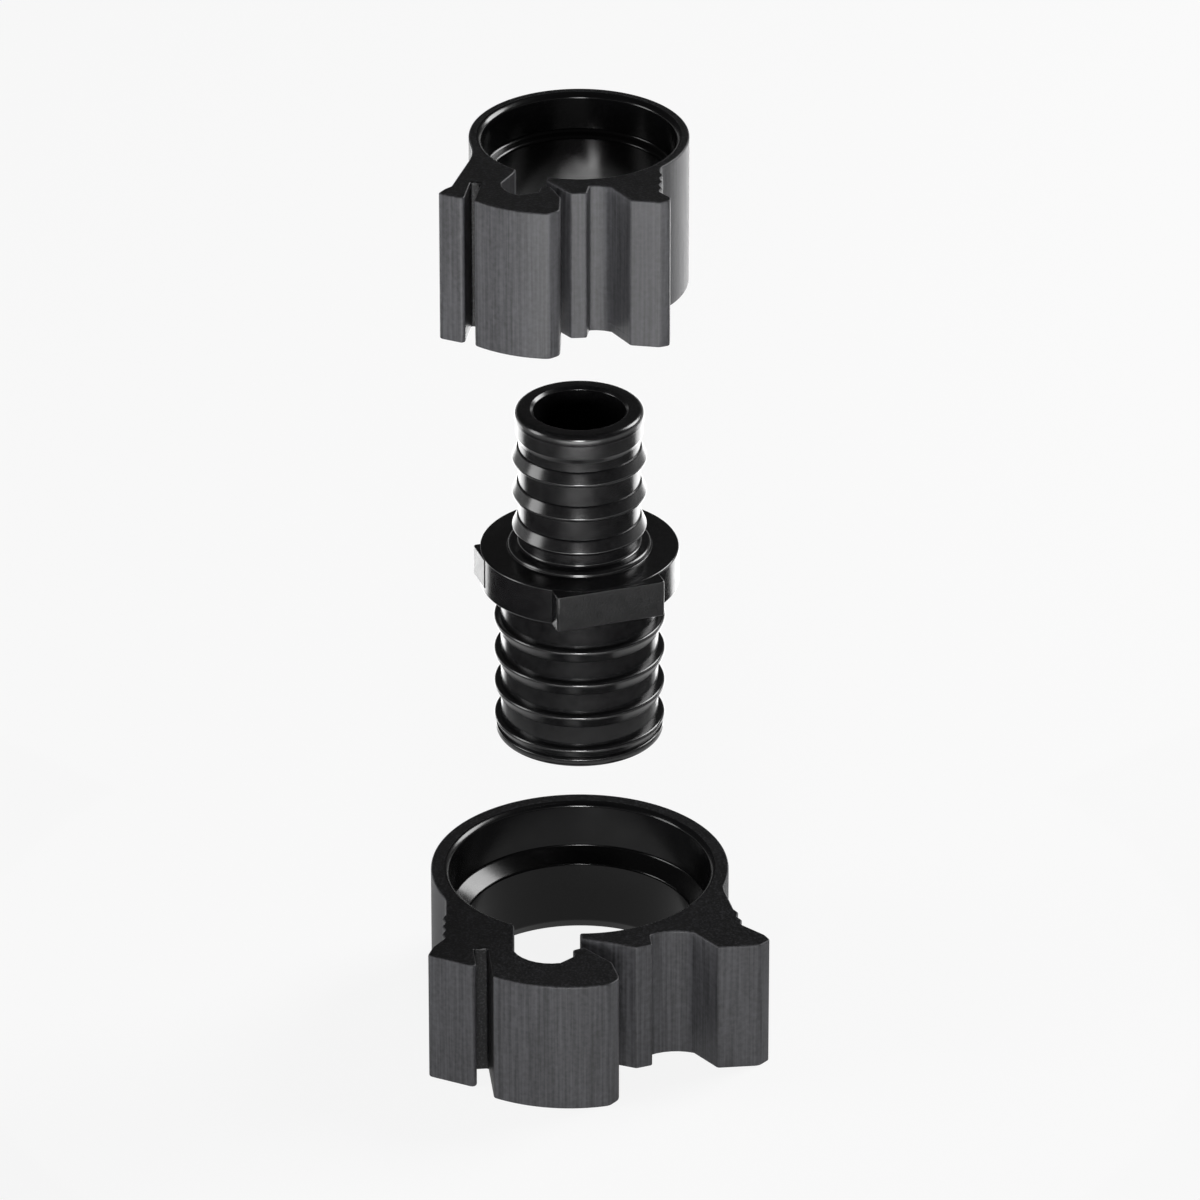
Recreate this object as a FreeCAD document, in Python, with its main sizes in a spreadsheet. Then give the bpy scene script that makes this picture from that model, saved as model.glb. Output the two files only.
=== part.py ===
import FreeCAD, Part
import math
import os
import Sketcher
from FreeCAD import Placement, Rotation, Vector

# A reducing coupling for two sizes of flexible pipe, with a one-piece snap clamp for each pipe.
# Millimetres. +Z runs from the large end to the small end, and z = 0 is the collar's lower face.
# The latch of each clamp faces -Y. "out" is a distance from the mid-plane x = 0. "down" runs from
# the outer edge of the clamp's ring towards the latch, and "beyond" from that edge sideways.

COUPLING = {
    "small_bore_radius": 6.05,
    "small_root_radius": 8.0,
    "small_crest_radius": 8.83,
    "small_lip_radius": 8.5,
    "small_lip_height": 1.5,
    "small_nose_radius": 8.35,
    "small_nose_length": 3.4,
    "small_length": 20.1,
    "small_rib_count": 3,
    "small_rib_pitch": 5.0,
    "small_rib_start": 2.7,
    "large_bore_radius": 8.25,
    "large_root_radius": 10.4,
    "large_crest_radius": 11.3,
    "large_rim_radius": 11.05,
    "large_rim_height": 1.3,
    "large_length": 22.3,
    "large_rib_count": 4,
    "large_rib_pitch": 4.85,
    "large_rib_start": 4.8,
    "rib_land": 0.5,
    "rib_ramp": 1.9,
    "rib_bite": 0.5,
    "shoulder_radius": 9.5,
    "shoulder_height": 0.7,
    "collar_radius": 13.1,
    "collar_height": 5.2,
    "throat_length": 2.2,
    "mouth_bevel": 0.4,
    "end_bevel": 0.35,
    "lug_flat": 13.2,
    "lug_drop": 0.15,
    "lug_round": 0.4,
    "lug_width": 14.8,
    "key_reach": 4.65,
    "key_foot": 0.8,
    "lug_turn": 18.5,
}

# Each clamp size as (large, small).
CLAMP = {
    "height": (18.5, 20.6),
    "pipe_radius": (14.29, 11.11),
    "play": (1.0, 0.3),
    "rim_wall": (2.5, 1.7),
    "ledge_drop": (1.7, 0.5),
    "lip_bevel": (0.5, 0.5),
    "foot_flare": (0.9, 0.5),
    "foot_height": (1.5, 1.2),
    "left_neck_inset": (2.0, 2.6),
    "left_neck_blend": (3.0, 9.0),
    "left_waist_inset": (0.2, 0.55),
    "left_waist_down": (-2.7, 3.2),
    "left_back_beyond": (1.6, 0.15),
    "left_back_down": (-0.5, 4.1),
    "left_tip_beyond": (2.5, 0.9),
    "left_tip_down": (1.7, 5.7),
    "left_front_down": (5.5, 6.7),
    "left_tooth_count": (3, 0),
    "right_neck_inset": (2.4, 3.3),
    "right_neck_blend": (3.0, 1.5),
    "right_waist_inset": (0.3, 1.5),
    "right_waist_down": (-2.3, 0.6),
    "right_back_beyond": (2.5, 0.2),
    "right_back_down": (0.8, 2.1),
    "right_tip_beyond": (3.1, 0.3),
    "right_tip_down": (2.2, 3.2),
    "right_front_down": (3.6, 3.9),
    "right_inner_inset": (4.0, 4.7),
    "right_tooth_count": (2, 3),
    "tooth_pitch": (2.1, 1.9),
    "tooth_depth": (0.4, 0.35),
    "slot_inset": (5.6, 4.15),
    "slot_width": (1.9, 1.4),
    "slot_down": (0.6, 1.7),
    "hook_left_down": (8.2, 7.1),
    "hook_front_down": (11.8, 9.4),
    "hook_front_bend": (19.5, 16.0),
    "hook_right_out": (2.2, 1.15),
    "hook_side_down": (6.0, 4.4),
    "lip_out": (3.2, 2.4),
    "lip_down": (1.6, 1.3),
    "jaw_out": (10.3, 6.4),
    "jaw_down": (-4.4, -2.0),
    "pocket_out": (10.9, 7.5),
    "pocket_middle": (5.2, 4.8),
    "pocket_down": (5.3, 4.4),
    "pocket_bend": (5.2, 3.6),
    "nose_out": (1.8, 2.0),
    "nose_down": (-0.6, -0.3),
    "tongue_out": (1.8, 0.2),
    "tongue_down": (0.9, 1.7),
    "catch_in": (5.2, 1.7),
    "catch_out": (7.4, 3.7),
    "catch_down": (2.6, 3.1),
    "step_down": (-0.6, 0.5),
    "recess_out": (13.2, 6.5),
    "recess_bend": (6.5, 4.5),
    "corner_round": (0.6, 0.5),
    "hook_round": (1.5, 1.2),
}

# How the clamps sit on the coupling, and how far each is drawn off its end before use.
SEATING = {
    "collar_gap": 0.3,
    "lug_clearance": 2.27,
    "rim_rise": 1.1,
    "small_ledge_width": 1.1,
    "small_ledge_depth": 5.2,
    "small_stand_off": 37.4,
    "large_stand_off": 49.7,
    "large_clamp_turn": 6.0,
    "small_clamp_turn": -9.0,
}

# Points closer than this are one point.
NEAR = 1e-3

SIGNS = {
    "+": lambda a, b: a + b,
    "-": lambda a, b: a - b,
    "*": lambda a, b: a * b,
    "/": lambda a, b: a / b,
}


class Size:
    """A length, as its number and as the sheet formula that yields it."""

    def __init__(self, number, formula):
        self.number = number
        self.formula = formula

    def joined(self, sign, other):
        if not isinstance(other, Size):
            other = Size(other, str(other))
        number = SIGNS[sign](self.number, other.number)
        return Size(number, f"({self.formula} {sign} {other.formula})")

    def __add__(self, other):
        return self.joined("+", other)

    def __sub__(self, other):
        return self.joined("-", other)

    def __mul__(self, other):
        return self.joined("*", other)

    def __truediv__(self, other):
        return self.joined("/", other)

    def __neg__(self):
        return Size(-self.number, f"(-{self.formula})")


def corner_distance(across, along):
    """The distance from the axis of a corner that lies so far across and along."""
    formula = f"sqrt({across.formula} ^ 2 + {along.formula} ^ 2)"
    return Size(math.hypot(across.number, along.number), formula)


doc = FreeCAD.newDocument("coupling")


def fill_sheet():
    """Writes every driving size to the sheet and returns the sizes by name."""
    numbers = dict(COUPLING)
    for word, (large, small) in CLAMP.items():
        numbers[f"large_clamp_{word}"] = large
        numbers[f"small_clamp_{word}"] = small
    numbers.update(SEATING)
    sheet = doc.addObject("Spreadsheet::Sheet", "Sizes")
    for row, (word, number) in enumerate(numbers.items(), start=1):
        sheet.set(f"A{row}", word)
        sheet.set(f"B{row}", str(number))
        sheet.setAlias(f"B{row}", word)
    doc.recompute()
    return {word: Size(number, f"Sizes.{word}") for word, number in numbers.items()}


SIZES = fill_sheet()


def size(word):
    return SIZES[word]


def new_body(label):
    body = doc.addObject("PartDesign::Body", label)
    body.Label = label
    return body


def origin_plane(body, role):
    return next(item for item in body.Origin.OriginFeatures if item.Role == role)


def new_sketch(body, name, role):
    sketch = body.newObject("Sketcher::SketchObject", name)
    sketch.AttachmentSupport = [(origin_plane(body, role), "")]
    sketch.MapMode = "FlatFace"
    return sketch


def pin(sketch, item, end, number_of_axis, kind, place):
    """Holds one coordinate of a sketch point: on the axis where it is 0, else at its size."""
    if not isinstance(place, Size):
        sketch.addConstraint(Sketcher.Constraint("PointOnObject", item, end, number_of_axis))
        return
    rule = Sketcher.Constraint(kind, -1, 1, item, end, place.number)
    sketch.setExpression(f"Constraints[{sketch.addConstraint(rule)}]", place.formula)


def number_of(place):
    return place.number if isinstance(place, Size) else place


def arc_between(start, end, radius, turn):
    """The short arc from start to end, bulging right of the way for turn 1, left for -1."""
    chord = end - start
    rise = math.sqrt(radius ** 2 - (chord.Length / 2) ** 2)
    left = Vector(-chord.y, chord.x, 0).normalize()
    centre = (start + end) / 2 + left * rise * turn
    first, last = (start, end) if turn > 0 else (end, start)
    angles = [math.atan2(p.y - centre.y, p.x - centre.x) for p in (first, last)]
    return Part.ArcOfCircle(Part.Circle(centre, Vector(0, 0, 1), radius), *angles)


def outline(body, name, role, corners):
    """A closed sketch. A corner is (x, y), or (x, y, radius, turn) where an arc ends at it."""
    sketch = new_sketch(body, name, role)
    places = [Vector(number_of(c[0]), number_of(c[1]), 0) for c in corners]
    ends = []
    for here, corner in enumerate(corners):
        after = (here + 1) % len(corners)
        bend = corners[after][2:]
        if not bend:
            item = sketch.addGeometry(Part.LineSegment(places[here], places[after]), False)
            ends.append((item, 1, 2))
            continue
        radius, turn = bend
        arc = arc_between(places[here], places[after], radius.number, turn)
        item = sketch.addGeometry(arc, False)
        ends.append((item, 1, 2) if turn > 0 else (item, 2, 1))
    for here, (item, start, end) in enumerate(ends):
        after = (here + 1) % len(ends)
        rule = Sketcher.Constraint("Coincident", item, end, ends[after][0], ends[after][1])
        sketch.addConstraint(rule)
        pin(sketch, item, start, -2, "DistanceX", corners[here][0])
        pin(sketch, item, start, -1, "DistanceY", corners[here][1])
        bend = corners[after][2:]
        if bend:
            rule = Sketcher.Constraint("Radius", item, bend[0].number)
            sketch.setExpression(f"Constraints[{sketch.addConstraint(rule)}]", bend[0].formula)
    doc.recompute()
    return sketch


def circle(body, name, role, radius):
    sketch = new_sketch(body, name, role)
    ring = Part.Circle(Vector(0, 0, 0), Vector(0, 0, 1), radius.number)
    item = sketch.addGeometry(ring, False)
    sketch.addConstraint(Sketcher.Constraint("Coincident", item, 3, -1, 1))
    rule = sketch.addConstraint(Sketcher.Constraint("Radius", item, radius.number))
    sketch.setExpression(f"Constraints[{rule}]", radius.formula)
    doc.recompute()
    return sketch


def feature(body, kind, name, **settings):
    """A feature of the body, with each setting that is a Size bound to the sheet."""
    item = body.newObject(f"PartDesign::{kind}", name)
    for key, value in settings.items():
        if isinstance(value, Size):
            setattr(item, key, value.number)
            item.setExpression(key, value.formula)
        else:
            setattr(item, key, value)
    doc.recompute()
    return item


def cut(body, kind, name, **settings):
    """A feature that takes material away, checked against the volume before it."""
    before = body.Shape.Volume
    item = feature(body, kind, name, **settings)
    if not item.Shape.Volume < before:
        raise RuntimeError(f"{name} cuts nothing")
    return item


def pattern(body, kind, name, original, **settings):
    item = feature(body, kind, name, Originals=[original], **settings)
    body.Tip = item
    doc.recompute()
    return item


def edges_where(item, test):
    names = [f"Edge{i}" for i, edge in enumerate(item.Shape.Edges, start=1) if test(edge)]
    if not names:
        raise RuntimeError(f"no edge to round on {item.Name}")
    return (item, names)


def upright_at(places, least):
    """A test for upright edges, as tall as given or taller, that stand at the places."""
    def test(edge):
        ends = [vertex.Point for vertex in edge.Vertexes]
        if len(ends) < 2 or (ends[0] - ends[-1]).Length < least - NEAR:
            return False
        return any(all(math.hypot(p.x - x, p.y - y) < NEAR for p in ends) for x, y in places)
    return test


def turned(body, name, sketch, kind="Revolution"):
    """A full turn of an upright profile about the body's Z axis."""
    maker = cut if kind == "Groove" else feature
    axis = (sketch, ["V_Axis"])
    return maker(body, kind, name, Profile=sketch, ReferenceAxis=axis, Angle=360.0)


def coupling_body():
    body = new_body("coupling_body")
    base = size("shoulder_height") + size("collar_height")
    top = size("collar_height") + size("small_length")
    foot = -size("large_length")
    lip_foot = top - size("small_lip_height")
    nose_foot = top - size("small_nose_length")
    rim_head = foot + size("large_rim_height")
    end_bevel = size("end_bevel")

    wall = outline(body, "wall_profile", "XZ_Plane", [
        (0, foot),
        (size("large_rim_radius") - end_bevel, foot),
        (size("large_rim_radius"), foot + end_bevel),
        (size("large_rim_radius"), rim_head),
        (size("large_root_radius"), rim_head),
        (size("large_root_radius"), 0),
        (size("collar_radius"), 0),
        (size("collar_radius"), size("collar_height")),
        (size("shoulder_radius"), size("collar_height")),
        (size("shoulder_radius"), base),
        (size("small_root_radius"), base),
        (size("small_root_radius"), nose_foot - size("small_lip_height") / 2),
        (size("small_nose_radius"), nose_foot),
        (size("small_nose_radius"), lip_foot),
        (size("small_lip_radius"), lip_foot),
        (size("small_lip_radius"), top - end_bevel),
        (size("small_lip_radius") - end_bevel, top),
        (0, top),
    ])
    turned(body, "wall", wall)

    add_ribs(body, "small", size("collar_height") + size("small_rib_start"), 1)
    add_ribs(body, "large", -size("large_rib_start"), -1)

    half = size("lug_width") / 2
    key = size("key_reach")
    flat = -size("lug_flat")
    root = -size("large_root_radius")
    flat_top = size("collar_height") - size("lug_drop")
    key_height = flat_top - size("key_foot")
    lug_plan = outline(body, "lug_plan", "XY_Plane",
                       [(-half, flat), (half, flat), (half, root), (-half, root)])
    feature(body, "Pad", "lug", Profile=lug_plan, Length=flat_top)

    # The key stands a quarter turn from the lug, and only its rear end leaves the collar's round.
    key_plan = outline(body, "key_plan", "XY_Plane",
                       [(flat, key), (flat, 0), (root, -key), (root, key)])
    key_plan.AttachmentOffset = Placement(Vector(0, 0, COUPLING["key_foot"]), Rotation())
    key_plan.setExpression("AttachmentOffset.Base.z", size("key_foot").formula)
    feature(body, "Pad", "key", Profile=key_plan, Length=key_height)

    bevel = size("mouth_bevel")
    throat_low = size("collar_height") / 2 - size("throat_length") / 2
    waterway = outline(body, "waterway_profile", "XZ_Plane", [
        (0, foot),
        (size("large_bore_radius"), foot),
        (size("large_bore_radius"), throat_low),
        (size("small_bore_radius"), throat_low + size("throat_length")),
        (size("small_bore_radius"), top - bevel),
        (size("small_bore_radius") + bevel, top),
        (0, top),
    ])
    bored = turned(body, "waterway", waterway, "Groove")

    corners = [(across.number, along.number)
               for across, along in ((-half, flat), (half, flat), (flat, key))]
    feature(body, "Fillet", "lug_corners", Radius=size("lug_round"),
            Base=edges_where(bored, upright_at(corners, key_height.number)))
    body.Placement = Placement(Vector(0, 0, 0), Rotation(Vector(0, 0, 1), COUPLING["lug_turn"]))
    body.setExpression("Placement.Rotation.Angle", "Sizes.lug_turn")
    return body


def add_ribs(body, end, start, way):
    """The pipe-gripping ribs of one end: a square back to the collar, then a land and a ramp."""
    root = size(f"{end}_root_radius")
    crest = size(f"{end}_crest_radius")
    land = size("rib_land") * way
    ramp = size("rib_ramp") * way
    rib = outline(body, f"{end}_rib_profile", "XZ_Plane", [
        (root - size("rib_bite"), start),
        (crest, start),
        (crest, start + land),
        (root, start + land + ramp),
        (root - size("rib_bite"), start + land + ramp),
    ])
    first = turned(body, f"{end}_rib", rib)
    count = size(f"{end}_rib_count")
    return pattern(body, "LinearPattern", f"{end}_ribs", first, Direction=(rib, ["V_Axis"]),
                   Reversed=way < 0, Length=size(f"{end}_rib_pitch") * (count - 1),
                   Occurrences=count)


def seat_radius(end):
    """The radius of the wide mouth, which on the large clamp passes over the collar's lugs."""
    if end == "large":
        corner = corner_distance(size("lug_flat"), size("lug_width") / 2)
        return corner + size("lug_clearance")
    return tube_radius(end) + size("small_ledge_width")


def tube_radius(end):
    return size(f"{end}_clamp_pipe_radius") + size(f"{end}_clamp_play")


def seat_depth(end):
    """The depth of the wide mouth, which on the large clamp takes in the collar."""
    if end == "large":
        return size("collar_height") + size("collar_gap") + size("rim_rise")
    return size("small_ledge_depth")


def neck_edge(end, side):
    """The outer edge of one neck, from level with the axis down to the waist, with its teeth."""
    ring = seat_radius(end) + size(f"{end}_clamp_rim_wall")
    top = ring - size(f"{end}_clamp_{side}_neck_inset")
    waist = ring - size(f"{end}_clamp_{side}_waist_inset")
    foot = -(ring + size(f"{end}_clamp_{side}_waist_down"))
    pitch = size(f"{end}_clamp_tooth_pitch")

    def across(along):
        return top + (waist - top) * along / foot

    corners = [(top, 0)]
    for tooth in range(size(f"{end}_clamp_{side}_tooth_count").number, 0, -1):
        root = foot + pitch * tooth
        tip = root - pitch / 2
        corners += [(across(root), root), (across(tip) + size(f"{end}_clamp_tooth_depth"), tip)]
    return corners + [(waist, foot)]


def neck_joint(end, side):
    """Where the neck's edge leaves the ring: the middle of a concave round."""
    ring = seat_radius(end).number + size(f"{end}_clamp_rim_wall").number
    (top, _), (across, along) = neck_edge(end, side)[:2]
    start = Vector(top.number, 0, 0)
    way = Vector(across.number, along.number, 0) - start
    lead, square = start.dot(way), way.dot(way)
    reach = (-lead + math.sqrt(lead ** 2 - square * (start.dot(start) - ring ** 2))) / square
    return start + way * reach


def clamp(label, end):
    """One clamp, open: a ring with a hook on its left jaw and a catch on its right jaw."""
    body = new_body(label)
    seat = seat_radius(end)
    tube = tube_radius(end)

    def of(word):
        return size(f"{end}_clamp_{word}")

    ring = seat + of("rim_wall")

    def down(word):
        return -(ring + of(f"{word}_down"))

    band = circle(body, f"{end}_band_plan", "XY_Plane", ring)
    feature(body, "Pad", f"{end}_band", Profile=band, Length=of("height"))

    left_waist, left_back, left_tip = (ring - of("left_waist_inset"),
                                       ring + of("left_back_beyond"),
                                       ring + of("left_tip_beyond"))
    right_waist, right_back, right_tip = (ring - of("right_waist_inset"),
                                          ring + of("right_back_beyond"),
                                          ring + of("right_tip_beyond"))
    slot_right = -(ring - of("slot_inset"))
    slot_left = slot_right - of("slot_width")
    hook_side = of("hook_right_out")
    hook_round = of("hook_round")
    lip = -of("lip_out")
    left = outline(body, f"{end}_hook_plan", "XY_Plane", [
        *((-across, along) for across, along in neck_edge(end, "left")),
        (-left_back, down("left_back")),
        (-left_tip, down("left_tip")),
        (slot_left, down("left_front")),
        (slot_right, down("hook_left")),
        (hook_side - hook_round, down("hook_front"), of("hook_front_bend"), 1),
        (hook_side, down("hook_front") + hook_round),
        (hook_side - of("corner_round"), down("hook_side")),
        (lip + hook_round, down("lip")),
        (lip, -seat),
    ])
    feature(body, "Pad", f"{end}_hook", Profile=left, Length=of("height"))

    inner = ring - of("right_inner_inset")
    right = outline(body, f"{end}_catch_plan", "XY_Plane", [
        (-of("nose_out"), down("nose")),
        (of("tongue_out"), down("tongue")),
        (of("catch_in"), down("catch")),
        (of("catch_out"), down("catch") + of("corner_round")),
        (of("catch_out"), down("step")),
        (of("recess_out"), down("step"), of("recess_bend"), -1),
        (inner, down("right_front")),
        (right_tip - hook_round, down("right_front")),
        (right_tip, down("right_tip")),
        (right_back, down("right_back")),
        *reversed(neck_edge(end, "right")),
    ])
    feature(body, "Pad", f"{end}_catch", Profile=right, Length=of("height"))

    ledge = of("height") - seat_depth(end)
    bore = outline(body, f"{end}_bore_profile", "XZ_Plane", [
        (0, 0),
        (tube + of("foot_flare"), 0),
        (tube, of("foot_height")),
        (tube, ledge - of("ledge_drop")),
        (seat, ledge),
        (seat, of("height") - of("lip_bevel")),
        (seat + of("lip_bevel"), of("height")),
        (0, of("height")),
    ])
    turned(body, f"{end}_bore", bore, "Groove")

    mouth = outline(body, f"{end}_mouth_plan", "XY_Plane", [
        (-of("nose_out"), 0),
        (-of("jaw_out"), 0),
        (-of("jaw_out"), down("jaw")),
        (-of("pocket_out"), down("lip")),
        (-of("pocket_middle"), down("pocket"), of("pocket_bend"), 1),
        (lip, down("pocket") + hook_round),
        (lip, down("lip") - of("corner_round")),
        (lip + hook_round, down("lip")),
        (of("tongue_out"), down("tongue")),
        (-of("nose_out"), down("nose")),
    ])
    cut(body, "Pocket", f"{end}_mouth", Profile=mouth, Length=of("height"), Reversed=True)

    slot = outline(body, f"{end}_slot_plan", "XY_Plane", [
        (slot_left, down("slot")),
        (slot_left, down("hook_front")),
        (slot_right, down("hook_front")),
        (slot_right, down("slot")),
    ])
    slotted = cut(body, "Pocket", f"{end}_slot", Profile=slot, Length=of("height"),
                  Reversed=True)

    corners = [
        (-left_waist, down("left_waist")),
        (-left_back, down("left_back")),
        (-left_tip, down("left_tip")),
        (slot_left, down("left_front")),
        (slot_right, down("hook_left")),
        (hook_side - hook_round, down("hook_front")),
        (hook_side, down("hook_front") + hook_round),
        (of("catch_in"), down("catch")),
        (inner, down("right_front")),
        (right_tip - hook_round, down("right_front")),
        (right_tip, down("right_tip")),
        (right_back, down("right_back")),
        (right_waist, down("right_waist")),
    ]

    tall = of("height").number
    places = [(across.number, along.number) for across, along in corners]
    rounded = feature(body, "Fillet", f"{end}_corners", Radius=of("corner_round"),
                      Base=edges_where(slotted, upright_at(places, tall)))
    for side, sign in (("left", -1), ("right", 1)):
        joint = neck_joint(end, side)
        rounded = feature(body, "Fillet", f"{end}_{side}_neck_blend",
                          Radius=of(f"{side}_neck_blend"),
                          Base=edges_where(rounded, upright_at([(sign * joint.x, joint.y)], tall)))
    return body


def stand_clamps_off(small, large):
    """Both clamps on the pipe axis, each drawn off its end, as they are before the pipes go on."""
    ledge = size("large_clamp_height") - seat_depth("large")
    home = -ledge - size("collar_gap")
    place(large, home - size("large_stand_off"), "large_clamp_turn")
    rim = home + size("large_clamp_height")
    place(small, rim + size("collar_gap") + size("small_stand_off"), "small_clamp_turn")


def place(body, height, turn):
    spin = Rotation(Vector(0, 0, 1), SEATING[turn])
    body.Placement = Placement(Vector(0, 0, height.number), spin)
    body.setExpression("Placement.Base.z", height.formula)
    body.setExpression("Placement.Rotation.Angle", f"Sizes.{turn}")


def check_all():
    for item in doc.Objects:
        if "Invalid" in item.State or "Error" in item.State:
            raise RuntimeError(f"{item.Name} failed: {item.State}")
    for body in (item for item in doc.Objects if item.TypeId == "PartDesign::Body"):
        if body.Shape.isNull() or not body.Shape.isValid():
            raise RuntimeError(f"{body.Label} has no valid shape")


def write_parts():
    os.makedirs("parts", exist_ok=True)
    for body in (item for item in doc.Objects if item.TypeId == "PartDesign::Body"):
        body.Shape.exportStep(f"parts/{body.Label}.step")
        box = body.Shape.BoundBox
        print(body.Label, "solids", len(body.Shape.Solids), "volume", round(body.Shape.Volume, 1),
              "z", round(box.ZMin, 2), round(box.ZMax, 2), "x", round(box.XMin, 2),
              round(box.XMax, 2), "y", round(box.YMin, 2), round(box.YMax, 2))


coupling_body()
stand_clamps_off(clamp("small_clamp", "small"), clamp("large_clamp", "large"))
doc.recompute()
check_all()
write_parts()
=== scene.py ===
# %% [markdown]
# # A reducing coupling and its two snap clamps
#
# The real object is three black mouldings on one axis. The coupling joins a wide and a narrow
# flexible pipe: each end has ribs that the pipe is pushed over. A one-piece clamp stands off
# each end, open, and is slid over the pipe and snapped shut.
#
# The engineered model gives every size and every motion. This lesson dresses it: it rebuilds
# the three mouldings with the small edge radii and the surface finishes that a steel mould
# leaves, at the sizes of their engineered solids.

# %% The engineered model
import math

import bmesh
import bpy
from mathutils import Matrix, Vector


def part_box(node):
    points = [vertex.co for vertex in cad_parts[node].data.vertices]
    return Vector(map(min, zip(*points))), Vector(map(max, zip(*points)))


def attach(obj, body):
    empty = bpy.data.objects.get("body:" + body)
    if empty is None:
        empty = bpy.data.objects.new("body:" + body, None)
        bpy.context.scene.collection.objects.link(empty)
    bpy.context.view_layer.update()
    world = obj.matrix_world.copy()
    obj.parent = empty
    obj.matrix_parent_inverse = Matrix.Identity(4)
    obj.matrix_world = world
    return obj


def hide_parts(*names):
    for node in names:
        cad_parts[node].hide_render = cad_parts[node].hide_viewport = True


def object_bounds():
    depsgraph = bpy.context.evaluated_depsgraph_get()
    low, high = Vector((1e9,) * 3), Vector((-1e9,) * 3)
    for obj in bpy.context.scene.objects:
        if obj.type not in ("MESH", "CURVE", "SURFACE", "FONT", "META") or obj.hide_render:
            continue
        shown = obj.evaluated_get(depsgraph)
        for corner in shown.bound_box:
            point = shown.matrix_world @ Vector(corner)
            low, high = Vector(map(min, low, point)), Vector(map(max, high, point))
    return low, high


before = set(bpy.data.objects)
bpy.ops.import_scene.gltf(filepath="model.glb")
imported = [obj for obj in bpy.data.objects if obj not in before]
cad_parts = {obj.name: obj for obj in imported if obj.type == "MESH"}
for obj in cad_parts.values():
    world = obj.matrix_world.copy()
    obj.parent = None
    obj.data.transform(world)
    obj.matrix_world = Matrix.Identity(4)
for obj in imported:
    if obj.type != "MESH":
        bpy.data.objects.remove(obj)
cad_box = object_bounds()
MM = 0.001
print("engineered box, mm:", [[round(v / MM, 2) for v in corner] for corner in cad_box])

# %% [markdown]
# ## Colours and nodes
#
# Colours are written as sRGB hex values, the way a colour picker shows them. Shaders work in
# linear light, so one function converts them. A second function adds a node with its settings
# and links, so each material below reads as a short list of what it is made of.

# %% One colour function, one node function
def linear(colour):
    """The linear RGBA of an sRGB hex colour."""
    channels = [int(colour[i:i + 2], 16) / 255 for i in (1, 3, 5)]
    return [c / 12.92 if c <= 0.04045 else ((c + 0.055) / 1.055) ** 2.4 for c in channels] + [1]


def add(tree, kind, settings=None, **inputs):
    """Adds a node. An input is a value, an output, or a node, which gives its first output."""
    node = tree.nodes.new(kind)
    for name, value in (settings or {}).items():
        setattr(node, name, value)
    for name, value in inputs.items():
        key = int(name[3:]) if name.startswith("in_") else name.replace("_", " ")
        if isinstance(value, bpy.types.Node):
            value = value.outputs[0]
        if isinstance(value, bpy.types.NodeSocket):
            tree.links.new(value, node.inputs[key])
        else:
            node.inputs[key].default_value = value
    return node


print("black of the mouldings, linear:", [round(c, 4) for c in linear("#0d0d0e")[:3]])

# %% [markdown]
# Every pattern below is drawn by the place on the piece, in metres, so its scale is a real size.
# Noise shows faint lines in the planes through its own zero point. So that point is moved well
# off the piece.

# %% An empty material, and the place on the piece
PATTERN_START = (0.5, 0.7, 0.9)


def start_material(name):
    """A new material and its empty tree."""
    material = bpy.data.materials.new(name)
    material.use_nodes = True
    material.node_tree.nodes.clear()
    return material, material.node_tree


def place_on_piece(tree):
    """The place on the piece, in metres from a point well off it."""
    on_piece = add(tree, "ShaderNodeTexCoord").outputs["Object"]
    return add(tree, "ShaderNodeVectorMath", {"operation": "ADD"}, in_0=on_piece,
               in_1=PATTERN_START)


print("patterns start at", PATTERN_START, "m")

# %% [markdown]
# ## Polysulfone, moulded: the coupling
#
# The coupling is black polysulfone, a hard plastic with a high refractive index (1.63), which
# is why its small edges flash so brightly. The ribbed ends come out of a turned and polished
# steel cavity, so they are smooth with only a slight ripple. The collar and its lugs are shaped
# by spark-eroded steel, which leaves a fine grain.
#
# One function makes both finishes, because they are one plastic: only roughness and grain differ.

# %% Polysulfone from polished and from spark-eroded steel
def polysulfone(name, roughness, grain_size, grain_height):
    """Black plastic with a fine grain, and a gloss that wavers every 1.6 mm."""
    material, tree = start_material(name)
    place = place_on_piece(tree)
    ripple = add(tree, "ShaderNodeTexNoise", Vector=place, Scale=1 / (1.6 * MM), Detail=2.0)
    grain = add(tree, "ShaderNodeTexNoise", Vector=place, Scale=1 / grain_size, Detail=4.0)
    tone = add(tree, "ShaderNodeMapRange", Value=grain, in_1=0.35, in_2=0.7)
    black = add(tree, "ShaderNodeMix", {"data_type": "RGBA"}, in_0=tone,
                in_6=linear("#0a0a0b"), in_7=linear("#161617"))
    sheen = add(tree, "ShaderNodeMapRange", Value=ripple, in_1=0.3, in_2=0.7,
                in_3=roughness - 0.02, in_4=roughness + 0.03)
    relief = add(tree, "ShaderNodeBump", Height=grain, Distance=grain_height, Strength=1.0)
    shader = add(tree, "ShaderNodeBsdfPrincipled", Base_Color=black.outputs[2],
                 Roughness=sheen, IOR=1.63, Normal=relief)
    add(tree, "ShaderNodeOutputMaterial", Surface=shader)
    return material


polished_polysulfone = polysulfone("polysulfone_from_polished_steel", 0.22, 0.5 * MM, 0.003 * MM)
grained_polysulfone = polysulfone("polysulfone_from_spark_eroded_steel", 0.3, 0.3 * MM, 0.03 * MM)
print("coupling finishes:", polished_polysulfone.name, grained_polysulfone.name)
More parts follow.
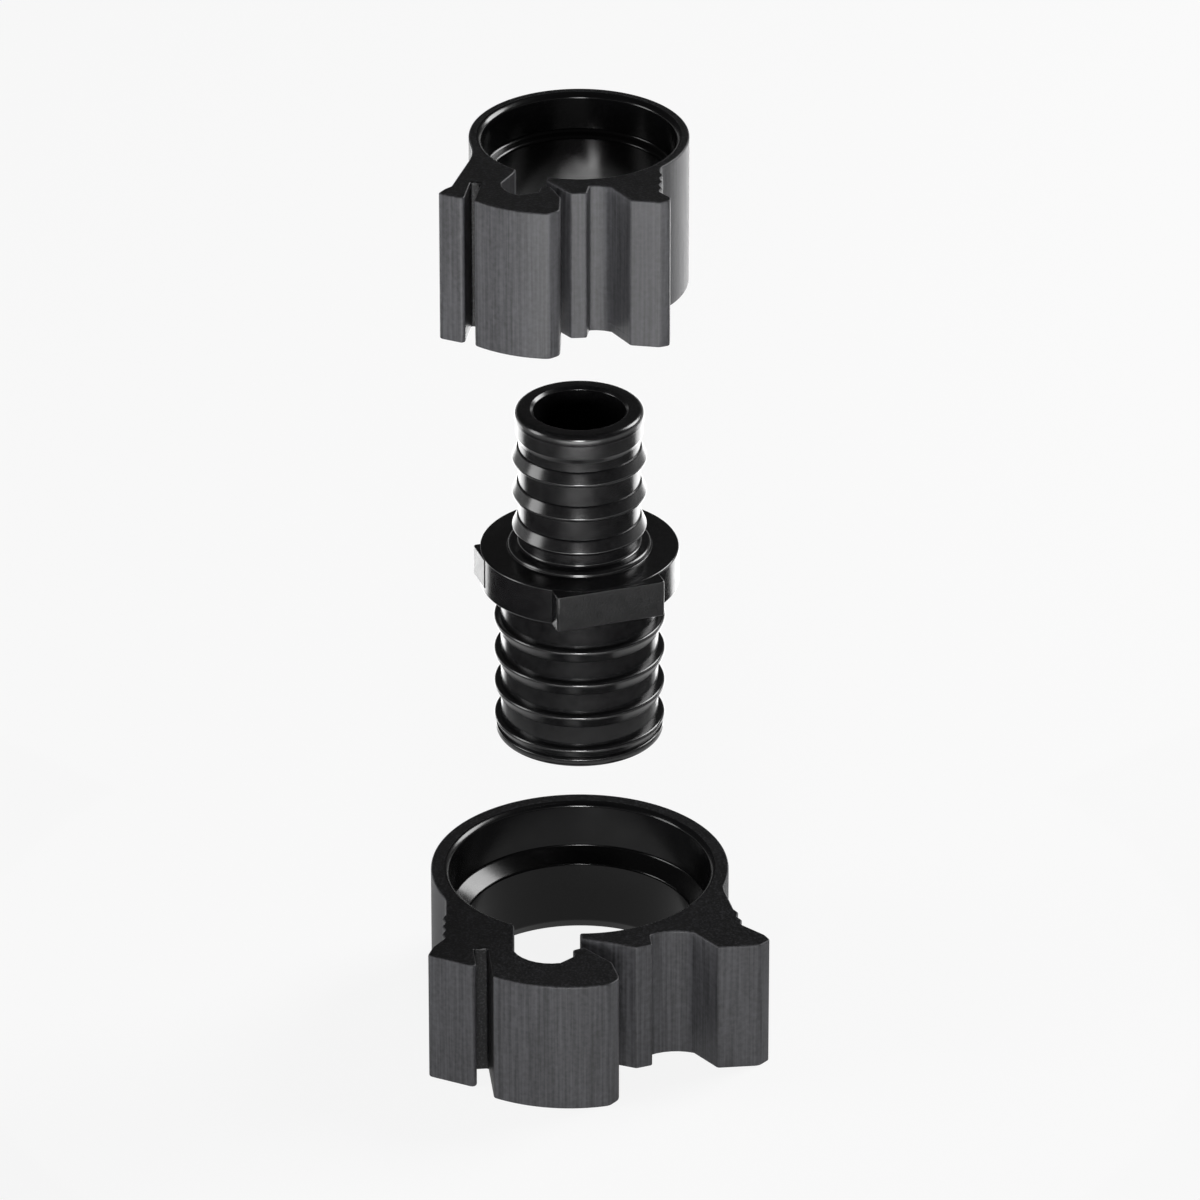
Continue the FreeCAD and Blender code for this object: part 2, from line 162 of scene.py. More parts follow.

# %% [markdown]
# ## Acetal, moulded: the clamps
#
# The clamps are acetal, a springy and slightly waxy plastic (refractive index 1.48). The mould
# opens along the axis, and each direction of the steel leaves its own finish:
#
# - the outer walls scrape along spark-eroded steel as the part is pushed out, which leaves
#   fine streaks along the axis; their grey is painted light, coloured lighter than the end
#   faces for the light that falls on upright walls;
# - the end faces are printed by ground steel, black and finely grained, and the narrow flex
#   slot gets the same black as painted shade;
# - the bore is shaped by a polished core pin, so it is glossy.

# %% Acetal walls
def acetal_wall():
    """Outer walls: drag streaks 0.35 mm apart and 15 mm long, on a painted-light grey."""
    material, tree = start_material("acetal_wall_streaked_painted_lighter")
    place = place_on_piece(tree)
    drawn_out = add(tree, "ShaderNodeMapping", Vector=place,
                    Scale=(1 / (0.35 * MM), 1 / (0.35 * MM), 1 / (15 * MM)))
    streaks = add(tree, "ShaderNodeTexNoise", Vector=drawn_out, Scale=1.0, Detail=3.0)
    mottle = add(tree, "ShaderNodeTexNoise", Vector=place, Scale=1 / (0.6 * MM), Detail=3.0)
    streaks_and_mottle = add(tree, "ShaderNodeMix", in_0=0.35, in_2=streaks, in_3=mottle)
    tone = add(tree, "ShaderNodeMapRange", Value=streaks_and_mottle, in_1=0.36, in_2=0.64)
    # Painted light: the walls' grey is lighter than the black end faces, standing in for the light
    # on upright walls.
    grey = add(tree, "ShaderNodeMix", {"data_type": "RGBA"}, in_0=tone,
               in_6=linear("#303032"), in_7=linear("#4c4c4f"))
    sheen = add(tree, "ShaderNodeMapRange", Value=streaks_and_mottle, in_1=0.3, in_2=0.7, in_3=0.42, in_4=0.58)
    relief = add(tree, "ShaderNodeBump", Height=streaks_and_mottle, Distance=0.02 * MM, Strength=0.7)
    shader = add(tree, "ShaderNodeBsdfPrincipled", Base_Color=grey.outputs[2],
                 Roughness=sheen, IOR=1.48, Normal=relief)
    add(tree, "ShaderNodeOutputMaterial", Surface=shader)
    return material


print("walls:", acetal_wall.__doc__)

# %% [markdown]
# The end faces and the bores need no streaks. The end faces carry one fine grain. A turned core
# pin leaves faint rings in the bore, far too fine to show, so they are drawn 0.4 mm apart.

# %% Acetal end faces and bores
def acetal_face():
    """End faces: black, with a grain of about 0.3 mm. On the slots it is painted shade."""
    material, tree = start_material("acetal_end_face_and_painted_slot_shade")
    place = place_on_piece(tree)
    grain = add(tree, "ShaderNodeTexNoise", Vector=place, Scale=1 / (0.3 * MM), Detail=4.0)
    tone = add(tree, "ShaderNodeMapRange", Value=grain, in_1=0.5, in_2=0.65)
    black = add(tree, "ShaderNodeMix", {"data_type": "RGBA"}, in_0=tone,
                in_6=linear("#080809"), in_7=linear("#303033"))
    relief = add(tree, "ShaderNodeBump", Height=grain, Distance=0.05 * MM, Strength=0.8)
    shader = add(tree, "ShaderNodeBsdfPrincipled", Base_Color=black.outputs[2],
                 Roughness=0.4, IOR=1.48, Normal=relief)
    add(tree, "ShaderNodeOutputMaterial", Surface=shader)
    return material


def acetal_bore():
    """Bores: glossy black, with faint rings round the axis."""
    material, tree = start_material("acetal_bore_from_polished_core")
    place = place_on_piece(tree)
    level_only = add(tree, "ShaderNodeMapping", Vector=place,
                     Scale=(1 / (16 * MM), 1 / (16 * MM), 1 / (0.4 * MM)))
    rings = add(tree, "ShaderNodeTexNoise", Vector=level_only, Scale=1.0, Detail=2.0)
    flow = add(tree, "ShaderNodeTexNoise", Vector=place, Scale=1 / (4 * MM), Detail=2.0)
    sheen = add(tree, "ShaderNodeMapRange", Value=flow, in_1=0.3, in_2=0.7, in_3=0.16, in_4=0.25)
    relief = add(tree, "ShaderNodeBump", Height=rings, Distance=0.003 * MM, Strength=0.5)
    shader = add(tree, "ShaderNodeBsdfPrincipled", Base_Color=linear("#0d0d0e"),
                 Roughness=sheen, IOR=1.48, Normal=relief)
    add(tree, "ShaderNodeOutputMaterial", Surface=shader)
    return material


WALL, FACE, BORE = 0, 1, 2
acetal_finishes = [acetal_wall(), acetal_face(), acetal_bore()]
print("clamp finishes:", [m.name for m in acetal_finishes])

# %% [markdown]
# ## Outlines
#
# A clamp is a plan drawn once and carried up the axis, with a bore that changes radius on the
# way. So the first tool is an outline: corners, some reached along an arc, each rounded to its
# own radius. Working with the outline rather than bevelling a finished mesh keeps every radius
# exact, and every level of the clamp gets the same number of points, ready to be joined.

# %% Arcs and rounded corners
def arc(centre, start, end, count):
    """Points on the short arc from start to end, both included."""
    arm = start - centre
    angle = -arm.angle_signed(end - centre)
    return [centre + Matrix.Rotation(angle * i / count, 2) @ arm for i in range(count + 1)]


def bulge(start, end, radius, turn, spacing=1.0):
    """Points between start and end on an arc that bulges right of the way for turn 1."""
    chord = end - start
    rise = math.sqrt(radius ** 2 - (chord.length / 2) ** 2)
    centre = (start + end) / 2 + Vector((-chord.y, chord.x)).normalized() * rise * turn
    length = 2 * math.asin(chord.length / 2 / radius) * radius
    return arc(centre, start, end, max(3, round(length / spacing)))[1:-1]


SIDE_SHARE = 0.48


def rounded(corners, steps=4):
    """A closed outline from corners (x, y, rounding) or (x, y, rounding, radius, turn).

    The first kind is reached straight, the second along a bulge. A rounding takes at most
    SIDE_SHARE of the sides it lies on, so two of them fit on a short side.
    """
    places = []
    for i, corner in enumerate(corners):
        here, before = Vector(corner[:2]), Vector(corners[i - 1][:2])
        if len(corner) > 3:
            places += [(p, 0) for p in bulge(before, here, *corner[3:])]
        places.append((here, corner[2]))
    out = []
    for i, (here, rounding) in enumerate(places):
        if not rounding:
            out.append(here)
            continue
        back = places[i - 1][0] - here
        ahead = places[(i + 1) % len(places)][0] - here
        half = back.angle(ahead) / 2
        shorter = min(back.length, ahead.length)
        reach = min(rounding / math.tan(half), shorter * SIDE_SHARE)
        back, ahead = back.normalized(), ahead.normalized()
        centre = here + (back + ahead).normalized() * reach / math.cos(half)
        out += arc(centre, here + back * reach, here + ahead * reach, steps)
    return out


tile = rounded([(0, 0, 1), (10, 0, 1), (10, 10, 1), (0, 10, 0)])
print("a tile with three rounded corners has", len(tile), "points")

# %% [markdown]
# ## From outlines to a moulded solid
#
# A mould never leaves a knife edge: the rim of each end face has a radius of about a fifth of
# a millimetre, and that thin round is what catches the light as a bright line. It is made by
# stacking a few copies of the outline near each end, each a little smaller.

# %% Inset, edge levels, stack
EDGE_RADIUS = 0.2


def inset(points, distance):
    """The outline moved inwards by one distance. It runs counter-clockwise."""
    out = []
    for i, here in enumerate(points):
        before = (here - points[i - 1]).normalized()
        after = (points[(i + 1) % len(points)] - here).normalized()
        side = Vector((-after.y, after.x))
        normal = (Vector((-before.y, before.x)) + side).normalized()
        out.append(here + normal * distance / normal.dot(side))
    return out


def edge_inset(height, total):
    """How far a level is inset so that both end edges of a solid this tall are rounded."""
    missing = max(0.0, EDGE_RADIUS - min(height, total - height))
    return EDGE_RADIUS - math.sqrt(EDGE_RADIUS ** 2 - missing ** 2)


def edge_levels(total, steps=3):
    """Heights that follow the rounded edge at each end of a solid this tall."""
    near = [EDGE_RADIUS * (1 - math.cos(math.pi / 2 * i / steps)) for i in range(steps + 1)]
    return near + [total - depth for depth in near]


def stack(levels):
    """Vertices and faces of the closed solid through (height, outline) levels, walls first."""
    count = len(levels[0][1])
    verts = [(p.x, p.y, height) for height, outline in levels for p in outline]
    faces = [(low + i, low + (i + 1) % count, low + count + (i + 1) % count, low + count + i)
             for low in range(0, (len(levels) - 1) * count, count) for i in range(count)]
    top = (len(levels) - 1) * count
    return verts, faces + [tuple(range(count - 1, -1, -1)), tuple(range(top, top + count))]


print("edge insets, mm:", [round(edge_inset(h, 10), 3) for h in (0, 0.05, 0.1, 0.2)])

# %% [markdown]
# ## Finishing a mesh
#
# Large flat faces next to narrow rounds shade badly when normals are averaged evenly: the flats
# look swollen. Weighted normals let the larger face decide, so flats stay flat and the rounds
# take the whole turn. The result is baked into a plain mesh.

# %% Plain mesh with weighted normals
def new_object(name, verts, faces, edges=()):
    """A mesh object in metres from millimetres, at the origin."""
    mesh = bpy.data.meshes.new(name)
    mesh.from_pydata([[c * MM for c in v] for v in verts], edges, faces)
    obj = bpy.data.objects.new(name, mesh)
    bpy.context.scene.collection.objects.link(obj)
    return obj


def baked(obj):
    """The same object with its evaluated mesh in place of its modifiers."""
    seen = obj.evaluated_get(bpy.context.evaluated_depsgraph_get())
    mesh = bpy.data.meshes.new_from_object(seen)
    obj.modifiers.clear()
    obj.data = mesh
    return obj


CLAMP_SHARP, COUPLING_SHARP = 38, 21    # a rib's ramp leaves the wall at 23.6 degrees or more


def shade_by_area(obj, sharp):
    """Smooth faces, but a sharp edge where they meet at more than so many degrees."""
    obj.data.shade_smooth()
    obj.data.set_sharp_from_angle(angle=math.radians(sharp))
    weigh = obj.modifiers.new("weighted_normals", "WEIGHTED_NORMAL")
    weigh.keep_sharp = True
    return baked(obj)


def volume_of(obj):
    """Cubic millimetres, positive when the faces look outwards."""
    work = bmesh.new()
    work.from_mesh(obj.data)
    volume = work.calc_volume(signed=True) / MM ** 3
    work.free()
    return round(volume, 1)


print("shading helpers are ready")

# %% [markdown]
# ## The clamps' plan
#
# Seen along the axis a clamp is a C. Its left jaw ends in a hook with a pocket behind it, and a
# slot beside the hook lets it flex. Its right jaw has a nose, a catch block that the hook snaps
# over, and a hollow. The necks between ring and ears carry teeth for the pliers' jaws.
#
# Every size is a pair, large clamp first, as in the engineered model. A "down", "beyond" or
# "inset" counts from the ring's outer edge, and an "out" or "in" from the middle of the clamp.

# %% Sizes of both clamps, mm
CLAMP = {
    "height": (18.5, 20.6), "seat": (17.403, 12.51), "tube": (15.29, 11.41),
    "rim_wall": (2.5, 1.7), "seat_depth": (6.6, 5.2), "ledge_drop": (1.7, 0.5),
    "lip_bevel": (0.5, 0.5), "foot_flare": (0.9, 0.5), "foot_height": (1.5, 1.2),
    "left_neck_inset": (2.0, 2.6), "left_neck_blend": (3.0, 9.0),
    "left_waist_inset": (0.2, 0.55), "left_waist_down": (-2.7, 3.2),
    "left_back_beyond": (1.6, 0.15), "left_back_down": (-0.5, 4.1),
    "left_tip_beyond": (2.5, 0.9), "left_tip_down": (1.7, 5.7), "left_front_down": (5.5, 6.7),
    "right_neck_inset": (2.4, 3.3), "right_neck_blend": (3.0, 1.5),
    "right_waist_inset": (0.3, 1.5), "right_waist_down": (-2.3, 0.6),
    "right_back_beyond": (2.5, 0.2), "right_back_down": (0.8, 2.1),
    "right_tip_beyond": (3.1, 0.3), "right_tip_down": (2.2, 3.2), "right_front_down": (3.6, 3.9),
    "right_inner_inset": (4.0, 4.7),
    "left_teeth": (3, 0), "right_teeth": (2, 3), "tooth_pitch": (2.1, 1.9),
    "tooth_depth": (0.4, 0.35),
    "slot_inset": (5.6, 4.15), "slot_width": (1.9, 1.4), "slot_down": (0.6, 1.7),
    "hook_left_down": (8.2, 7.1), "hook_front_down": (11.8, 9.4), "hook_front_bend": (19.5, 16.0),
    "hook_right_out": (2.2, 1.15), "hook_side_down": (6.0, 4.4), "lip_out": (3.2, 2.4),
    "lip_down": (1.6, 1.3), "jaw_out": (10.3, 6.4), "jaw_down": (-4.4, -2.0),
    "pocket_out": (10.9, 7.5), "pocket_middle": (5.2, 4.8), "pocket_down": (5.3, 4.4),
    "pocket_bend": (5.2, 3.6), "nose_out": (1.8, 2.0), "nose_down": (-0.6, -0.3),
    "tongue_out": (1.8, 0.2), "tongue_down": (0.9, 1.7), "catch_in": (5.2, 1.7),
    "catch_out": (7.4, 3.7), "catch_down": (2.6, 3.1), "step_down": (-0.6, 0.5),
    "recess_out": (13.2, 6.5), "recess_bend": (6.5, 4.5), "corner_round": (0.6, 0.5),
    "hook_round": (1.5, 1.2), "turn": (6.0, -9.0),
}


def sizes_of(which):
    """The sizes of one clamp: 0 is the large one, 1 the small one."""
    return {word: pair[which] for word, pair in CLAMP.items()}


print("large ring, mm across:", round(2 * (CLAMP["seat"][0] + CLAMP["rim_wall"][0]), 1))

# %% [markdown]
# The plan is walked counter-clockwise, with the plastic always on the left: round the ring, down
# the left ear, round the hook and through its pocket, up into the bore and round it, back out
# at the nose, round the catch and up the right ear.
#
# The necks come first. Each is a straight line that runs out of the ring. A blend joins the
# two: its arc touches the ring and the line, so its centre lies one blend radius off both.

# %% Ring, necks and teeth
FINE_ROUND = 0.3
RING_POINTS = 96


def neck_corners(s, side):
    """The left or the right neck from the ring down to the waist, drawn on the right."""
    ring, blend = s["seat"] + s["rim_wall"], s[f"{side}_neck_blend"]
    top = Vector((ring - s[f"{side}_neck_inset"], 0))
    waist = Vector((ring - s[f"{side}_waist_inset"], -ring - s[f"{side}_waist_down"]))
    way = (waist - top).normalized()
    out = Vector((-way.y, way.x))

    start = top + out * blend
    along = start.dot(way)
    step = math.sqrt(along ** 2 - start.length_squared + (ring + blend) ** 2) - along
    foot = top + way * step
    touch = (foot + out * blend) * ring / (ring + blend)
    corners = [(p.x, p.y, 0) for p in [touch, *bulge(touch, foot, blend, 1), foot]]

    for tooth in range(s[f"{side}_teeth"], 0, -1):
        root = waist - way * tooth * s["tooth_pitch"]
        crest = root + way * s["tooth_pitch"] / 2 + out * s["tooth_depth"]
        corners += [(root.x, root.y, FINE_ROUND), (crest.x, crest.y, FINE_ROUND)]
    return corners + [(waist.x, waist.y, s["corner_round"])]


def ring_corners(s, right_touch, left_touch):
    """The ring's outer edge over the back, between the two necks."""
    ring = s["seat"] + s["rim_wall"]
    start = math.atan2(right_touch[1], right_touch[0])
    sweep = math.pi - math.atan2(left_touch[1], left_touch[0]) - start
    return [(ring * math.cos(start + sweep * i / RING_POINTS),
             ring * math.sin(start + sweep * i / RING_POINTS), 0) for i in range(1, RING_POINTS)]


print("right neck of the large clamp:",
      [[round(c, 2) for c in corner[:2]] for corner in neck_corners(sizes_of(0), "right")])

# %% [markdown]
# Both jaws now follow from the sizes. Only the stretch inside the bore depends on how high the
# level lies, so the plan takes the bore's radius and gives the same number of points for each.

# %% The whole plan at one bore radius
def left_jaw(s, down):
    """Ear, slot, hook and pocket."""
    ring = s["seat"] + s["rim_wall"]
    slot_right = -(ring - s["slot_inset"])
    slot_left = slot_right - s["slot_width"]
    small, hook = s["corner_round"], s["hook_round"]
    side, lip = s["hook_right_out"], -s["lip_out"]
    return [
        (-ring - s["left_back_beyond"], down("left_back"), small),
        (-ring - s["left_tip_beyond"], down("left_tip"), small),
        (slot_left, down("left_front"), small),
        (slot_left, down("slot"), FINE_ROUND),
        (slot_right, down("slot"), FINE_ROUND),
        (slot_right, down("hook_left"), small),
        (side - hook, down("hook_front"), hook, s["hook_front_bend"], 1),
        (side, down("hook_front") + hook, hook),
        (side - small, down("hook_side"), hook),
        (lip + hook, down("lip"), FINE_ROUND),
        (lip, down("lip") - small, FINE_ROUND),
        (lip, down("pocket") + hook, small),
        (-s["pocket_middle"], down("pocket"), 0),
        (-s["pocket_out"], down("lip"), FINE_ROUND, s["pocket_bend"], -1),
        (-s["jaw_out"], down("jaw"), FINE_ROUND),
    ]


def right_jaw(s, down):
    """Nose, catch block, hollow and ear."""
    ring = s["seat"] + s["rim_wall"]
    small, tip = s["corner_round"], ring + s["right_tip_beyond"]
    return [
        (-s["nose_out"], down("nose"), FINE_ROUND),
        (s["tongue_out"], down("tongue"), FINE_ROUND),
        (s["catch_in"], down("catch"), small),
        (s["catch_out"], down("catch") + small, FINE_ROUND),
        (s["catch_out"], down("step"), FINE_ROUND),
        (s["recess_out"], down("step"), 0, s["recess_bend"], -1),
        (ring - s["right_inner_inset"], down("right_front"), small),
        (tip - s["hook_round"], down("right_front"), s["hook_round"]),
        (tip, down("right_tip"), small),
        (ring + s["right_back_beyond"], down("right_back"), small),
    ]


def bore_corners(s, radius):
    """The bore from the left jaw round the back to the nose, clockwise."""
    left = -math.pi + math.acos(s["jaw_out"] / radius) + math.tau
    sweep = -math.pi + math.acos(s["nose_out"] / radius) - left
    return [(radius * math.cos(left + sweep * i / RING_POINTS),
             radius * math.sin(left + sweep * i / RING_POINTS),
             FINE_ROUND if i in (0, RING_POINTS) else 0) for i in range(RING_POINTS + 1)]


def clamp_plan(s, bore_radius):
    """The clamp's outline at a level where its bore has this radius."""
    ring = s["seat"] + s["rim_wall"]

    def down(word):
        return -(ring + s[f"{word}_down"])

    left, right = neck_corners(s, "left"), neck_corners(s, "right")
    return rounded(ring_corners(s, right[0], left[0])
                   + [(-x, y, rounding) for x, y, rounding in left] + left_jaw(s, down)
                   + bore_corners(s, bore_radius) + right_jaw(s, down) + right[::-1])


for word, which in (("large", 0), ("small", 1)):
    print(word, "plan:", len(clamp_plan(sizes_of(which), CLAMP["seat"][which])), "points")

# %% [markdown]
# ## Carrying the plan up the axis
#
# The bore is flared at the foot, narrow where it grips the pipe, steps out at a sloping ledge to
# the wide mouth, and has a bevelled lip. Its profile is one more rounded outline, read as
# radius against height, so each level asks it for its radius.

# %% The bore's radius at each height
FLARE_ROUND, BORE_ROUND = 0.8, 0.5


def bore_profile(s):
    """(height, radius) pairs from the foot to the lip, with every corner rounded a little."""
    ledge, height = s["height"] - s["seat_depth"], s["height"]
    line = rounded([
        (0, 0, 0), (s["tube"] + s["foot_flare"], 0, 0),
        (s["tube"], s["foot_height"], FLARE_ROUND),
        (s["tube"], ledge - s["ledge_drop"], BORE_ROUND), (s["seat"], ledge, BORE_ROUND),
        (s["seat"], height - s["lip_bevel"], BORE_ROUND),
        (s["seat"] + s["lip_bevel"], height, 0), (0, height, 0)])
    return [(p.y, p.x) for p in line if p.x > 0]


def radius_at(profile, height):
    """The bore's radius at one height."""
    for (low, r_low), (high, r_high) in zip(profile, profile[1:]):
        if low <= height <= high and high > low:
            return r_low + (r_high - r_low) * (height - low) / (high - low)
    return profile[-1][1]


for word, which in (("large", 0), ("small", 1)):
    print(word, "bore, mm:", [round(radius_at(bore_profile(sizes_of(which)), h), 2)
                              for h in (0, 5, 10, 15)])

# %% [markdown]
# All levels have the same corners, so one look at the plan settles the finish of every wall: the
# bore is polished, the sides of the flex slot take the end faces' black as painted shade, and
# all the others are outer walls. Each clamp is then turned as in the photograph and set on
# its place.

# %% Both clamps
NEAR = 0.01


def side_finish(s, start, end):
    """The finish of the wall that stands on one side of the plan."""
    if all(abs(corner.length - s["seat"]) < NEAR for corner in (start, end)):
        return BORE
    slot_right = s["slot_inset"] - s["seat"] - s["rim_wall"]
    slot_left = slot_right - s["slot_width"]
    # The flex slot's sides take the black end-face finish as painted shade, for the shade deep in
    # the slot.
    slot_side_painted_shade = slot_left - NEAR < (start.x + end.x) / 2 < slot_right + NEAR
    return FACE if slot_side_painted_shade and max(start.y, end.y) < -s["seat"] else WALL


def build_clamp(name, which, node):
    """One clamp in its place: turned about the axis, standing where its solid stands."""
    s = sizes_of(which)
    profile = bore_profile(s)
    heights = sorted({round(h, 4) for h in [h for h, _ in profile] + edge_levels(s["height"])})
    verts, faces = stack([
        (h, inset(clamp_plan(s, radius_at(profile, h)), edge_inset(h, s["height"])))
        for h in heights])

    plan = clamp_plan(s, s["seat"])
    sides = [side_finish(s, start, end) for start, end in zip(plan, plan[1:] + plan[:1])]
    clamp = new_object(name, verts, faces)
    clamp.data.transform(Matrix.Translation((0, 0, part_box(node)[0].z))
                         @ Matrix.Rotation(math.radians(s["turn"]), 4, "Z"))
    for finish in acetal_finishes:
        clamp.data.materials.append(finish)
    for i, face in enumerate(clamp.data.polygons):
        face.material_index = FACE if len(face.vertices) > 4 else sides[i % len(plan)]
    return shade_by_area(clamp, CLAMP_SHARP)


small_clamp = build_clamp("small_snap_clamp", 1, "small_clamp")
large_clamp = build_clamp("large_snap_clamp", 0, "large_clamp")
for clamp in (small_clamp, large_clamp):
    print(clamp.name, len(clamp.data.polygons), "faces,", volume_of(clamp), "cubic mm",
          [[round(c / MM, 2) for c in clamp.bound_box[corner]] for corner in (0, 6)])

# %% [markdown]
# ## The coupling by rule
#
# The coupling is a turned shape with ribs at even steps, so Geometry Nodes build it from named
# sizes. Its wall is a profile swept round a circle. The profile is the object's own mesh: a loop
# of corners, each with its rounding and whether it is grained.
#
# Curve to Mesh lays a profile's y axis downwards on such a circle, so the profile is turned
# over first.

# %% The wall's profile
WIDE_BORE, WIDE_ROOT, WIDE_CREST, WIDE_END = 8.25, 10.4, 11.3, -22.3
NARROW_BORE, NARROW_ROOT, NARROW_CREST, NARROW_END = 6.05, 8.0, 8.83, 25.3
RIM_RADIUS, RIM_TOP = 11.05, -21.0
COLLAR_RADIUS, COLLAR_TOP = 13.1, 5.2
SHOULDER_RADIUS, SHOULDER_TOP = 9.5, 5.9
NECK_RADIUS, SLOPE_START, SLOPE_END = 8.35, 21.15, 21.9
LIP_RADIUS, LIP_START = 8.5, 23.8
THROAT_START, THROAT_END = 1.5, 3.7

WALL_PROFILE = [    # radius, height, rounding, grained or not
    (WIDE_BORE, WIDE_END, 0.2, 0), (RIM_RADIUS, WIDE_END, 0.7, 0),
    (RIM_RADIUS, RIM_TOP, 0.2, 0), (WIDE_ROOT, RIM_TOP, 0.15, 0), (WIDE_ROOT, 0.0, 0.15, 0),
    (COLLAR_RADIUS, 0.0, 0.25, 1), (COLLAR_RADIUS, COLLAR_TOP, 0.25, 1),
    (SHOULDER_RADIUS, COLLAR_TOP, 0.15, 1), (SHOULDER_RADIUS, SHOULDER_TOP, 0.6, 0),
    (NARROW_ROOT, SHOULDER_TOP, 0.4, 0), (NARROW_ROOT, SLOPE_START, 0.3, 0),
    (NECK_RADIUS, SLOPE_END, 0.3, 0), (NECK_RADIUS, LIP_START, 0.05, 0),
    (LIP_RADIUS, LIP_START, 0.1, 0), (LIP_RADIUS, NARROW_END, 0.8, 0),
    (6.45, NARROW_END, 0.15, 0), (NARROW_BORE, 24.9, 0.2, 0),    # a bevelled mouth
    (NARROW_BORE, THROAT_END, 0.5, 0), (WIDE_BORE, THROAT_START, 0.5, 0),
]
SWEEP_RADIUS = 1.0


def profile_object():
    """The profile as a loop, measured outwards from the circle it is swept along."""
    verts = [(r - SWEEP_RADIUS, z, 0) for r, z, _, _ in WALL_PROFILE]
    count = len(verts)
    obj = new_object("barbed_coupling", verts, [], [(i, (i + 1) % count) for i in range(count)])
    for word, column, unit in (("rounding", 2, MM), ("grain", 3, 1.0)):
        layer = obj.data.attributes.new(word, "FLOAT", "POINT")
        layer.data.foreach_set("value", [row[column] * unit for row in WALL_PROFILE])
    return obj


coupling = profile_object()
print("profile corners:", len(coupling.data.vertices))

# %% [markdown]
# One rib is a four-cornered profile: square towards the collar, a narrow land, and a ramp that
# the pipe rides up. Its foot is sunk into the wall by the bite. A group makes a row of them from
# sizes, and the coupling uses it twice.

# %% A group for a row of ribs
FLOAT, COUNT = "NodeSocketFloat", "NodeSocketInt"
ROUNDING_POINTS = 6


def new_tree(name, wanted):
    """A geometry tree with named inputs (name, socket type, value) and one geometry output."""
    tree = bpy.data.node_groups.new(name, "GeometryNodeTree")
    for label, kind, value in wanted:
        socket = tree.interface.new_socket(name=label, in_out="INPUT", socket_type=kind)
        if value is not None:
            socket.default_value = value
    tree.interface.new_socket(name="Geometry", in_out="OUTPUT", socket_type="NodeSocketGeometry")
    return tree, add(tree, "NodeGroupInput").outputs


def swept_round(tree, profile, around):
    """The closed profile swept round the axis, its faces looking outwards."""
    circle = add(tree, "GeometryNodeCurvePrimitiveCircle", Resolution=around,
                 Radius=SWEEP_RADIUS * MM)
    upright = add(tree, "GeometryNodeTransform", Geometry=profile, Rotation=(math.pi, 0, 0))
    return add(tree, "GeometryNodeCurveToMesh", Curve=circle, Profile_Curve=upright)


ribs, given = new_tree("row_of_ribs", [
    ("Root Radius", FLOAT, NARROW_ROOT * MM), ("Crest Radius", FLOAT, NARROW_CREST * MM),
    ("Start", FLOAT, 7.9 * MM), ("Pitch", FLOAT, 5.0 * MM), ("Land", FLOAT, 0.5 * MM),
    ("Ramp", FLOAT, 1.9 * MM), ("Bite", FLOAT, 0.5 * MM), ("Edge Radius", FLOAT, 0.4 * MM),
    ("Count", COUNT, 3), ("Around", COUNT, 128)])
foot = add(ribs, "ShaderNodeMath", {"operation": "SUBTRACT"}, in_0=given["Root Radius"],
           in_1=add(ribs, "ShaderNodeMath", {"operation": "ADD"}, in_0=given["Bite"],
                    in_1=SWEEP_RADIUS * MM))
crest = add(ribs, "ShaderNodeMath", {"operation": "SUBTRACT"}, in_0=given["Crest Radius"],
            in_1=SWEEP_RADIUS * MM)
rise = add(ribs, "ShaderNodeMath", {"operation": "SUBTRACT"}, in_0=given["Crest Radius"],
           in_1=given["Root Radius"])
slope = add(ribs, "ShaderNodeMath", {"operation": "DIVIDE"}, in_0=given["Ramp"], in_1=rise)
depth = add(ribs, "ShaderNodeMath", {"operation": "SUBTRACT"}, in_0=crest, in_1=foot)
ramp_end = add(ribs, "ShaderNodeMath", {"operation": "MULTIPLY_ADD"}, in_0=depth, in_1=slope,
               in_2=given["Land"])
rib = add(ribs, "GeometryNodeCurvePrimitiveQuadrilateral", {"mode": "POINTS"},
          Point_1=add(ribs, "ShaderNodeCombineXYZ", X=foot),
          Point_2=add(ribs, "ShaderNodeCombineXYZ", X=crest),
          Point_3=add(ribs, "ShaderNodeCombineXYZ", X=crest, Y=given["Land"]),
          Point_4=add(ribs, "ShaderNodeCombineXYZ", X=foot, Y=ramp_end))
eased = add(ribs, "GeometryNodeFilletCurve", {"mode": "POLY"}, Curve=rib,
            Count=ROUNDING_POINTS, Radius=given["Edge Radius"], Limit_Radius=True)
steps = add(ribs, "GeometryNodeMeshLine", Count=given["Count"],
            Start_Location=add(ribs, "ShaderNodeCombineXYZ", Z=given["Start"]),
            Offset=add(ribs, "ShaderNodeCombineXYZ", Z=given["Pitch"]))
row = add(ribs, "GeometryNodeInstanceOnPoints", Points=steps,
          Instance=swept_round(ribs, eased, given["Around"]))
add(ribs, "NodeGroupOutput", Geometry=row)
print(ribs.name, "has", len(ribs.nodes), "nodes")

# %% [markdown]
# ## Lug and key
#
# A wide flat lug stands on the collar's front, and a quarter turn to its left a narrow key, of
# which only the rear end leaves the collar's round. They stop the clamp. Both are moulded blocks
# built with the same outline and edge tools as the clamps, and their inner ends are buried.

# %% Two blocks on the collar
HALF_LUG, HALF_KEY = 7.4, 4.65
OUTER_SIDE, BURIED_SIDE = -13.2, -10.4
BLOCK_ROUND, BLOCK_TOP, KEY_FOOT = 0.4, 5.05, 0.8

LUG_PLAN = [(-HALF_LUG, OUTER_SIDE, BLOCK_ROUND), (HALF_LUG, OUTER_SIDE, BLOCK_ROUND),
            (HALF_LUG, BURIED_SIDE, 0), (-HALF_LUG, BURIED_SIDE, 0)]
KEY_PLAN = [(OUTER_SIDE, HALF_KEY, BLOCK_ROUND), (OUTER_SIDE, 0, 0),
            (BURIED_SIDE, -HALF_KEY, 0), (BURIED_SIDE, HALF_KEY, 0)]


